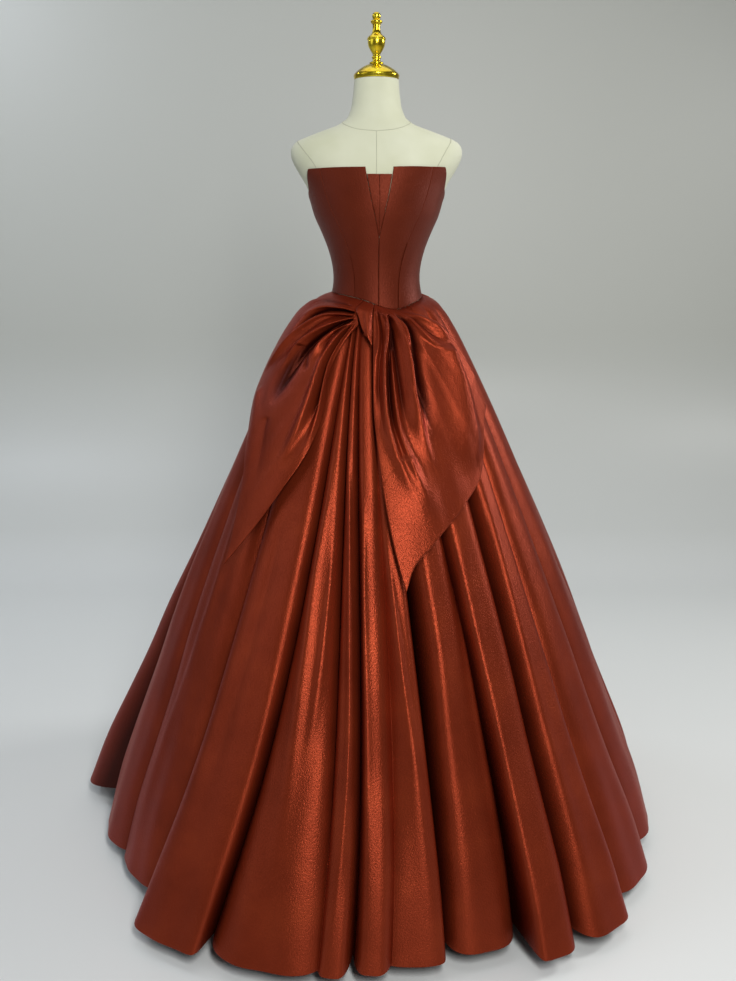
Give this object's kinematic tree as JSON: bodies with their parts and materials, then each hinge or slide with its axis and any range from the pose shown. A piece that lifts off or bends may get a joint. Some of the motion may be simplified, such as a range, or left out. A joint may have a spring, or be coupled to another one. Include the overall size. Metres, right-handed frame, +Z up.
{
  "type": "ball gown on dress form",
  "caption": "Strapless floor-length ball gown with a pleated skirt and a knotted front drape, standing on a limbless dress form with a turned finial, pole and round base.",
  "frame": {"origin": "centre of the base's underside, on the form's upright axis", "axes": "+Z up the form, -Y the gown's front, +X toward the right of a viewer who faces the front"},
  "size_m": [1.3976, 1.3884, 1.845],
  "materials": {
    "satin": "heavy satin, copper red",
    "bodice_satin": "satin, copper red, smoothed over the form",
    "form_cloth": "ivory cotton drawn tight",
    "gilt": "polished gilt",
    "painted_steel": "black paint",
    "board": "plain ply",
    "zip_metal": "enamelled to match the cloth"
  },
  "bodies": {
    "gown_on_form": {"bodice_back_left": "bodice_satin", "bodice_back_right": "bodice_satin", "bodice_front_left": "bodice_satin", "bodice_front_right": "bodice_satin", "bodice_insert_left": "bodice_satin", "bodice_insert_right": "bodice_satin", "bodice_side_back_left": "bodice_satin", "bodice_side_back_right": "bodice_satin", "bodice_side_front_left": "bodice_satin", "bodice_side_front_right": "bodice_satin", "drape_knot": "satin", "drape_left": "satin", "drape_right": "satin", "form_base": "painted_steel", "form_bottom_board": "board", "form_finial": "gilt", "form_pole": "painted_steel", "form_torso": "form_cloth", "skirt_back_left": "satin", "skirt_back_right": "satin", "skirt_front": "satin", "skirt_side_left": "satin", "skirt_side_right": "satin", "zip_slider": "zip_metal"},
    "zip_pull_tab": {"zip_pull": "zip_metal"}
  },
  "joints": [
    {"name": "zip_pull_hinge", "type": "hinge", "parent": "gown_on_form", "child": "zip_pull_tab", "pos_m": [0, 0.10603, 1.449], "axis": [1, 0, 0], "range_deg": [0, 150]}
  ]
}
